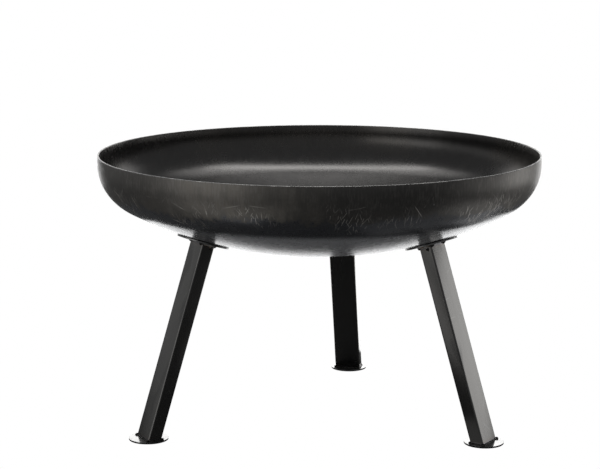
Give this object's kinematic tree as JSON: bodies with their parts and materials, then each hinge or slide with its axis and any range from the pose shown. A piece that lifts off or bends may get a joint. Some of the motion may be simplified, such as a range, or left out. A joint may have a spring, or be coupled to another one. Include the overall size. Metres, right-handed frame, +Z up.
{
  "type": "fire bowl on legs",
  "caption": "Round dished steel fire bowl on splayed rectangular-tube legs, each with a bolted top plate and a round foot plate.",
  "frame": {"origin": "on the floor under the centre of the bowl", "axes": "+Z up, -Y to the front, midway between the two front legs; +X to the right as seen from the front"},
  "size_m": [0.8, 0.8, 0.49],
  "materials": {
    "bowl_steel": "hot-rolled sheet with dark mill scale, brushed streaks and scuffs, satin",
    "leg_steel": "drawn tube with blue-black scale, satin, faint smudges",
    "plate_steel": "cut from rolled sheet, smooth and dark, bare cut edges",
    "weld_metal": "rippled weld metal with straw and brown heat tint",
    "bare_nut": "plain uncoated steel",
    "plated_steel": "zinc-plated steel, satin"
  },
  "bodies": {
    "root": {"bowl": "bowl_steel", "leg_tube_back": "leg_steel", "leg_tube_left": "leg_steel", "leg_tube_right": "leg_steel", "top_plate_back": "plate_steel", "top_plate_left": "plate_steel", "top_plate_right": "plate_steel", "foot_plate_back": "plate_steel", "foot_plate_left": "plate_steel", "foot_plate_right": "plate_steel", "top_weld_back": "weld_metal", "top_weld_left": "weld_metal", "top_weld_right": "weld_metal", "foot_weld_back": "weld_metal", "foot_weld_left": "weld_metal", "foot_weld_right": "weld_metal", "weld_nut_back": "bare_nut", "weld_nut_left": "bare_nut", "weld_nut_right": "bare_nut", "leg_bolt_back": "plated_steel", "leg_bolt_left": "plated_steel", "leg_bolt_right": "plated_steel", "washer_back": "plated_steel", "washer_left": "plated_steel", "washer_right": "plated_steel"}
  },
  "joints": []
}
